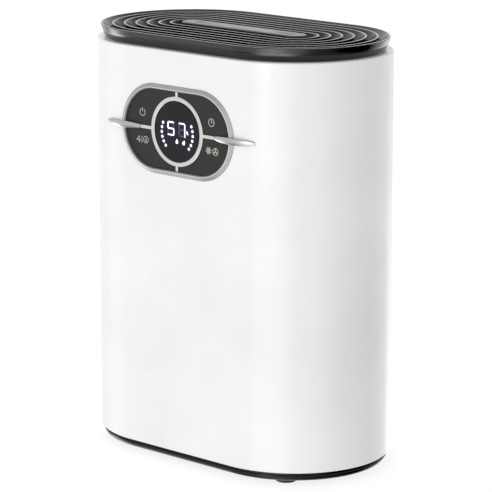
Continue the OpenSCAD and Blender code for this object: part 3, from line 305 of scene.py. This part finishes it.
def dress_cad_nodes():
    """Gives each CAD node the material of its slot in the record."""
    for entry in frame["record"]["subparts"]:
        node = frame["nodes"][entry["node"]]
        node.data.materials.clear()
        finish = FINISHES.get(entry["node"], entry["material_slot"])
        node.data.materials.append(MATERIALS[finish])


# ---------------------------------------------------------------- flat marks on the panel


def box_of(node):
    """The lowest and highest corner of a node's box."""
    low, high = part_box(node)
    return Vector(low), Vector(high)


class Face:
    """A flat face to print on, with u to the right and v up as it is read.

    The front face of a node looks along -Y, with v along Z. The top face looks up, with v along Y.
    """

    def __init__(self, node, lift_mm, centred_on=None, top=False):
        low, high = box_of(centred_on or node)
        own_low, own_high = box_of(node)
        self.origin = (low + high) / 2
        self.across = Vector((1, 0, 0))
        if top:
            self.origin.z = own_high.z
            self.up, self.out = Vector((0, 1, 0)), Vector((0, 0, 1))
        else:
            self.origin.y = own_low.y
            self.up, self.out = Vector((0, 0, 1)), Vector((0, -1, 0))
        self.origin = self.origin + self.out * lift_mm * MM

    def place(self, u_mm, v_mm, out_mm):
        """The point at u and v, this far out from the face."""
        return self.origin + (self.across * u_mm + self.up * v_mm + self.out * out_mm) * MM


# Where a round end has its points, as parts of its reach
CAP_STEPS = (0.95, 0.8, 0.5)
# The least cosine of half a bend, so that a sharp corner doesn't run far out
SHARPEST = 0.6


def ribbon(points, half, closed=False):
    """A stroke of this half width along points, as its left and right sides, with round ends."""
    count = len(points)
    left, right = [], []

    def add(point, along, width):
        left.append((point[0] - along[1] * width, point[1] + along[0] * width))
        right.append((point[0] + along[1] * width, point[1] - along[0] * width))

    for i, point in enumerate(points):
        before = points[i - 1] if i or closed else point
        after = points[(i + 1) % count] if i < count - 1 or closed else point
        length = math.dist(before, after)
        along = ((after[0] - before[0]) / length, (after[1] - before[1]) / length)
        if i == 0 and not closed:
            for reach in CAP_STEPS:
                end = (point[0] - along[0] * half * reach, point[1] - along[1] * half * reach)
                add(end, along, half * math.sqrt(1 - reach * reach))
        widen = 1.0
        if 0 < i < count - 1 or closed:
            step = math.dist(before, point)
            cross = (point[0] - before[0]) * along[1] - (point[1] - before[1]) * along[0]
            turn = abs(cross) / step
            widen = 1 / max(SHARPEST, math.sqrt(max(0.0, 1 - turn * turn)))
        add(point, along, half * widen)
        if i == count - 1 and not closed:
            for reach in reversed(CAP_STEPS):
                end = (point[0] + along[0] * half * reach, point[1] + along[1] * half * reach)
                add(end, along, half * math.sqrt(1 - reach * reach))
    return left, right, closed


def filled(ring):
    """A closed outline as a ribbon of two sides, split at its first and middle points."""
    half = len(ring) // 2
    return ring[:half], ring[half:][::-1], False


RING_STEPS = 28
DOT_STEPS = 20


def circle_points(u, v, radius, start=0.0, end=360.0, count=RING_STEPS):
    """Points along a circle from the start to the end angle, both included."""
    return [(u + radius * math.cos(math.radians(start + (end - start) * i / count)),
             v + radius * math.sin(math.radians(start + (end - start) * i / count)))
            for i in range(count + 1)]


def circle_line(u, v, radius, half):
    """A circle drawn with a stroke of this half width."""
    return ribbon(circle_points(u, v, radius)[:-1], half, closed=True)


def dot(u, v, radius):
    """A filled circle."""
    return filled(circle_points(u, v, radius, count=DOT_STEPS)[:-1])


# How fast a drop narrows to its point
DROP_TAPER = 1.3


def drop_ring(u, v, height, tilt, fullness):
    """The outline of a water drop, round below and pointed above."""
    ring = []
    for i in range(RING_STEPS):
        angle = 2 * math.pi * i / RING_STEPS
        narrow = math.sin(angle / 2) ** DROP_TAPER
        wide = fullness * height * math.sin(angle) * narrow
        tall = 0.5 * height * math.cos(angle)
        c, s = math.cos(math.radians(tilt)), math.sin(math.radians(tilt))
        ring.append((u + wide * c - tall * s, v + wide * s + tall * c))
    return ring


# Strokes of one piece take turns at these heights over its thickness
LAYER_MM = 0.004
LAYERS = 4


def make_marks(name, face, strokes, material, thickness_mm):
    """One mesh of thin raised marks. Strokes that may cross differ a little in height."""
    mesh = bpy.data.meshes.new(name)
    shape = bmesh.new()
    for number, (left, right, closed) in enumerate(strokes):
        height = thickness_mm + LAYER_MM * (number % LAYERS)
        rows = [[shape.verts.new(face.place(u, v, out)) for u, v in side]
                for side, out in ((left, height), (right, height), (left, 0), (right, 0))]
        count = len(left)
        for i in range(count if closed else count - 1):
            j = (i + 1) % count
            top_l, top_r, low_l, low_r = rows
            shape.faces.new((top_l[i], top_l[j], top_r[j], top_r[i]))
            shape.faces.new((low_l[i], low_r[i], low_r[j], low_l[j]))
            shape.faces.new((top_l[i], low_l[i], low_l[j], top_l[j]))
            shape.faces.new((top_r[i], top_r[j], low_r[j], low_r[i]))
        if not closed:
            for i in (0, count - 1):
                shape.faces.new([row[i] for row in (rows[0], rows[1], rows[3], rows[2])])
    bmesh.ops.recalc_face_normals(shape, faces=shape.faces)
    shape.to_mesh(mesh)
    shape.free()
    mesh.materials.append(MATERIALS[material])
    piece = bpy.data.objects.new(name, mesh)
    bpy.context.collection.objects.link(piece)
    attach(piece, "housing")


# ---------------------------------------------------------------- display

# Places are in millimetres from the middle of the bezel, and strokes are half widths
DIGIT_W = 5.4
DIGIT_LOW = -2.5
DIGIT_HIGH = 6.2
DIGIT_STROKE = 0.43
DIGIT_MIDDLE = (DIGIT_LOW + DIGIT_HIGH) / 2
LEFT_DIGIT_X = -8.2
RIGHT_DIGIT_X = 2.1
# How far from a corner its arc starts, and the steps of the arc
FIVE_CORNER = 0.9
SEVEN_CORNER = 1.3
CORNER_STEPS = 5
# The bars that are off, by their usual letters, their half width and the gap at each end
UNLIT_BARS = ((LEFT_DIGIT_X, "be"), (RIGHT_DIGIT_X, "defg"))
UNLIT_STROKE = 0.6
UNLIT_GAP = 0.9


def bars_of(x):
    """The bars that either digit leaves off, for a digit whose left side is at x."""
    low, middle, high, right = DIGIT_LOW, DIGIT_MIDDLE, DIGIT_HIGH, x + DIGIT_W
    return {
        "b": ((right, high), (right, middle)),
        "d": ((x, low), (right, low)),
        "e": ((x, middle), (x, low)),
        "f": ((x, high), (x, middle)),
        "g": ((x, middle), (right, middle)),
    }


def toward(a, b, distance):
    """The point this far from a on the way to b."""
    length = math.dist(a, b)
    return tuple(p + (q - p) * distance / length for p, q in zip(a, b))


def rounded_path(points, cut):
    """The path with each inner corner cut by a short arc."""
    path = [points[0]]
    for before, corner, after in zip(points, points[1:], points[2:]):
        start = toward(corner, before, cut)
        end = toward(corner, after, cut)
        for i in range(CORNER_STEPS + 1):
            t = i / CORNER_STEPS
            path.append(tuple((1 - t) ** 2 * s + 2 * t * (1 - t) * c + t * t * e
                              for s, c, e in zip(start, corner, end)))
    path.append(points[-1])
    return path


def lit_paths():
    """The strokes of the two digits shown, a 5 and a 7."""
    low, middle, high = DIGIT_LOW, DIGIT_MIDDLE, DIGIT_HIGH
    five_r = LEFT_DIGIT_X + DIGIT_W
    seven_r = RIGHT_DIGIT_X + DIGIT_W
    five = [(five_r - 0.3, high), (LEFT_DIGIT_X, high), (LEFT_DIGIT_X, middle),
            (five_r, middle), (five_r, low), (LEFT_DIGIT_X + 0.2, low)]
    seven = [(RIGHT_DIGIT_X + 0.3, high), (seven_r, high), (seven_r, low - 0.1)]
    return [rounded_path(five, FIVE_CORNER), rounded_path(seven, SEVEN_CORNER)]


# Two arcs of dots: their centre and radius, and the angles of the first dot and between dots
DOT_ARC_CENTRE = (0.4, -0.8)
DOT_ARC_R = 14.5
DOT_PITCH = 13.2
DOT_FIRST = 24.4
DOTS = 6
DOT_R = 0.9
# Drops: place, height and tilt
DROPS = (
    (0.1, -6.4, 3.2, 0),
    (6.6, -6.7, 3.3, -24),
)
DROP_FULLNESS = 0.48
# The short slanted mark beside the right digit
TICK = ((9.5, 0.9), (10.1, -0.4))
TICK_STROKE = 0.55
# How far the glow reaches past what is lit
HALO = 0.75
# The layers' thickness, and how far each is lifted off the lens
DISPLAY_THICKNESS = 0.01
HALO_LIFT = 0.005
UNLIT_LIFT = 0.035
LIT_LIFT = 0.065


def dot_places():
    """The middles of the dots, the left arc first."""
    places = []
    for side in (-1, 1):
        for i in range(DOTS):
            angle = math.radians(DOT_FIRST - DOT_PITCH * i)
            places.append((DOT_ARC_CENTRE[0] + side * DOT_ARC_R * math.cos(angle),
                           DOT_ARC_CENTRE[1] + DOT_ARC_R * math.sin(angle)))
    return places


def display_strokes(grow):
    """Everything lit on the display, each shape grown by this much."""
    strokes = [ribbon(path, DIGIT_STROKE + grow) for path in lit_paths()]
    strokes += [dot(u, v, DOT_R + grow) for u, v in dot_places()]
    strokes += [filled(drop_ring(u, v, height + 2 * grow, tilt, DROP_FULLNESS))
                for u, v, height, tilt in DROPS]
    strokes.append(ribbon(TICK, TICK_STROKE + grow))
    return strokes


def make_display():
    """Three layers on the lens: the glow, the bars that are off with their faint painted glow, and
    what is lit.
    """
    unlit = []
    for x, letters in UNLIT_BARS:
        for letter in letters:
            a, b = bars_of(x)[letter]
            unlit.append(ribbon([toward(a, b, UNLIT_GAP), toward(b, a, UNLIT_GAP)], UNLIT_STROKE))
    for name, lift, strokes, material in (
            ("display_halo", HALO_LIFT, display_strokes(HALO), "display_halo"),
            ("display_unlit_segments", UNLIT_LIFT, unlit, "display_off_painted_glow"),
            ("display_lit_segments", LIT_LIFT, display_strokes(0.0), "display_lit")):
        face = Face("display_lens", lift, centred_on="panel_bezel")
        make_marks(name, face, strokes, material, DISPLAY_THICKNESS)


# ---------------------------------------------------------------- touch icons

ICON_STROKE = 0.27
RING_STROKE = 0.9 * ICON_STROKE
DROP_STROKE = 0.22
PETAL_STROKE = 0.36
PETALS = 8
BLADE_ANGLES = (90, 210, 330)
ICON_LIFT = 0.005
ICON_THICKNESS = 0.02
# The drop in a ring keeps slimmer than those of the display
ICON_DROP_FULLNESS = 0.36


def stroke(points, half=ICON_STROKE):
    """An open stroke of an icon."""
    return ribbon(points, half)


def at_angle(u, v, radius, angle):
    """The point this far from u and v at this angle."""
    return circle_points(u, v, radius, angle, angle, 1)[0]


def power_icon(u, v, size):
    """An arc that is open at the top, with a bar in its gap."""
    return [stroke(circle_points(u, v, size * 0.42, 125, 415, 22)),
            stroke([(u, v + size * 0.52), (u, v + size * 0.06)])]


def clock_icon(u, v, size):
    """A circle with two hands."""
    return [circle_line(u, v, size * 0.5, ICON_STROKE),
            stroke([(u, v + size * 0.32), (u, v), (u + size * 0.24, v)])]


def sweep_icon(u, v, size):
    """A pointer and a bar, for the air's direction."""
    return [stroke([(u - size * 0.25, v - size * 0.5), (u - size * 0.25, v + size * 0.5)]),
            stroke([(u - size * 0.3, v + size * 0.5), (u - size * 0.85, v - size * 0.12)]),
            stroke([(u - size * 0.85, v - size * 0.15), (u - size * 0.05, v - size * 0.15)]),
            stroke([(u + size * 0.3, v + size * 0.5), (u + size * 0.3, v - size * 0.5)])]


def drop_ring_icon(u, v, size):
    """A drop in a circle."""
    drop = drop_ring(u, v, size * 0.55, 0, ICON_DROP_FULLNESS)
    return [circle_line(u, v, size * 0.5, RING_STROKE),
            ribbon(drop[1:], DROP_STROKE, closed=True)]


def blade_icon(u, v, size):
    """A circle with three blades."""
    marks = [circle_line(u, v, size * 0.5, ICON_STROKE)]
    for angle in BLADE_ANGLES:
        marks.append(stroke([(u, v), at_angle(u, v, size * 0.4, angle)], PETAL_STROKE))
    return marks


def bloom_icon(u, v, size):
    """A round tuft of short petals."""
    marks = [dot(u, v, size * 0.16)]
    for i in range(PETALS):
        angle = 360 / PETALS * i
        petal = [at_angle(u, v, size * 0.26, angle), at_angle(u, v, size * 0.48, angle + 16)]
        marks.append(stroke(petal, PETAL_STROKE))
    return marks


# Icons: what draws each, its place from the middle of the bezel, and its size
ICONS = (
    (power_icon, -32.6, 10.0, 5.8),
    (clock_icon, 31.9, 10.2, 5.1),
    (sweep_icon, -34.6, -9.2, 4.2),
    (drop_ring_icon, -29.6, -9.0, 4.5),
    (bloom_icon, 29.3, -9.2, 4.9),
    (blade_icon, 35.5, -9.3, 4.7),
)


def make_icons():
    """The six icons printed on the touch panel, as one piece."""
    marks = [mark for draw, u, v, size in ICONS for mark in draw(u, v, size)]
    face = Face("touch_panel", ICON_LIFT, centred_on="panel_bezel")
    make_marks("touch_icons", face, marks, "icon_print", ICON_THICKNESS)


# ---------------------------------------------------------------- painted reflections on the outlet's strip

LEAF_X = 38.5
LEAF_HALF_LENGTH = 9.5
LEAF_HALF_WIDTH = 2.3
LEAF_TIP = 0.04
LEAF_STEPS = 12
LEAF_THICKNESS = 0.02


def make_strip_painted_reflections():
    """Two slender dark leaf-shaped marks on the silver strip: painted reflections in matt grey."""
    leaves = []
    for side in (-1, 1):
        upper, lower = [], []
        for i in range(LEAF_STEPS + 1):
            t = -1 + 2 * i / LEAF_STEPS
            width = max(LEAF_TIP, LEAF_HALF_WIDTH * (1 - t * t))
            upper.append((side * LEAF_X + t * LEAF_HALF_LENGTH, width))
            lower.append((side * LEAF_X + t * LEAF_HALF_LENGTH, -width))
        leaves.append((upper, lower, False))
    face = Face("outlet_strip", 0.0, top=True)
    make_marks("strip_painted_reflections", face, leaves, "leaf_painted_reflection", LEAF_THICKNESS)


# ---------------------------------------------------------------- studio


def direction_to(azimuth, elevation):
    """The direction from the object to a place in the studio, from its angles in degrees."""
    azimuth = math.radians(azimuth)
    elevation = math.radians(elevation)
    return Vector((math.sin(azimuth) * math.cos(elevation),
                   -math.cos(azimuth) * math.cos(elevation), math.sin(elevation)))


def make_camera():
    """The camera, which looks at CAMERA_AIM."""
    low, high = box_of("outlet_ring")
    aim = Vector((low.x + high.x, low.y + high.y, 0)) / 2 + CAMERA_AIM
    away = direction_to(CAMERA_AZIMUTH, CAMERA_ELEVATION)
    data = bpy.data.cameras.new("camera")
    data.lens = CAMERA_LENS
    data.sensor_width = CAMERA_SENSOR
    data.clip_start = CAMERA_CLIP
    camera = bpy.data.objects.new("camera", data)
    camera.location = aim + away * CAMERA_DISTANCE
    camera.rotation_euler = (aim - camera.location).to_track_quat("-Z", "Y").to_euler()
    bpy.context.collection.objects.link(camera)
    bpy.context.scene.camera = camera


def add_softbox(name, azimuth, elevation, distance, size, power):
    """A softbox seen from the object at this azimuth and elevation, facing it."""
    data = bpy.data.lights.new(name, "AREA")
    data.shape = "RECTANGLE"
    data.size, data.size_y = size
    data.energy = power
    lamp = bpy.data.objects.new(name, data)
    aim = Vector((0, 0, CAD_BOX[1][2] / 2))
    lamp.location = aim + distance * direction_to(azimuth, elevation)
    lamp.rotation_euler = (aim - lamp.location).to_track_quat("-Z", "Y").to_euler()
    lamp.visible_camera = False
    bpy.context.collection.objects.link(lamp)


def grey(value):
    return value, value, value


def make_floor():
    """A plain pale floor, lit and a little luminous."""
    bpy.ops.mesh.primitive_plane_add(size=FLOOR_SIZE, location=(0, 0, 0))
    floor = bpy.context.object
    floor.name = "studio_floor"
    material, tree, shader = start_material("studio_floor", grey(FLOOR_GREY), FLOOR_ROUGHNESS)
    shader.inputs["Emission Color"].default_value = (1, 1, 1, 1)
    shader.inputs["Emission Strength"].default_value = FLOOR_GLOW
    vary_colour(tree, shader, noise(tree, 3),
                grey(FLOOR_GREY - FLOOR_SPREAD), grey(FLOOR_GREY + FLOOR_SPREAD))
    floor.data.materials.append(material)
    # Glossy pieces mirror the sky's lobes instead of the floor
    floor.visible_glossy = False


def lobe(tree, direction, azimuth, elevation, inner, outer):
    """1 within inner degrees of a direction of the sky, falling to 0 at outer degrees."""
    dot_product = node_of(tree, "ShaderNodeVectorMath", operation="DOT_PRODUCT")
    dot_product.inputs[1].default_value = direction_to(azimuth, elevation)
    tree.links.new(direction, dot_product.inputs[0])
    spread = node_of(tree, "ShaderNodeMapRange", interpolation_type="SMOOTHSTEP")
    spread.inputs["From Min"].default_value = math.cos(math.radians(outer))
    spread.inputs["From Max"].default_value = math.cos(math.radians(inner))
    tree.links.new(dot_product.outputs["Value"], spread.inputs["Value"])
    return spread.outputs["Result"]


def make_world():
    """A white studio all round, brighter and dimmer in the sky's lobes."""
    world = bpy.data.worlds.new("studio")
    bpy.context.scene.world = world
    world.use_nodes = True
    tree = world.node_tree
    tree.nodes.clear()
    coords = node_of(tree, "ShaderNodeTexCoord")
    direction = coords.outputs["Generated"]
    total = None
    for azimuth, elevation, inner, outer, amount in SKY_LOBES:
        scaled = node_of(tree, "ShaderNodeMath", operation="MULTIPLY_ADD")
        tree.links.new(lobe(tree, direction, azimuth, elevation, inner, outer), scaled.inputs[0])
        scaled.inputs[1].default_value = amount
        scaled.inputs[2].default_value = SKY_STRENGTH
        if total:
            tree.links.new(total, scaled.inputs[2])
        total = scaled.outputs["Value"]
    background = node_of(tree, "ShaderNodeBackground", Color=(1, 1, 1, 1))
    output = node_of(tree, "ShaderNodeOutputWorld")
    tree.links.new(total, background.inputs["Strength"])
    tree.links.new(background.outputs["Background"], output.inputs["Surface"])


def make_studio():
    """Camera, floor, sky and softbox."""
    bpy.context.scene.view_settings.view_transform = "Standard"
    make_camera()
    make_floor()
    make_world()
    add_softbox(*SOFTBOX)


dress_cad_nodes()
make_display()
make_icons()
make_strip_painted_reflections()
make_studio()
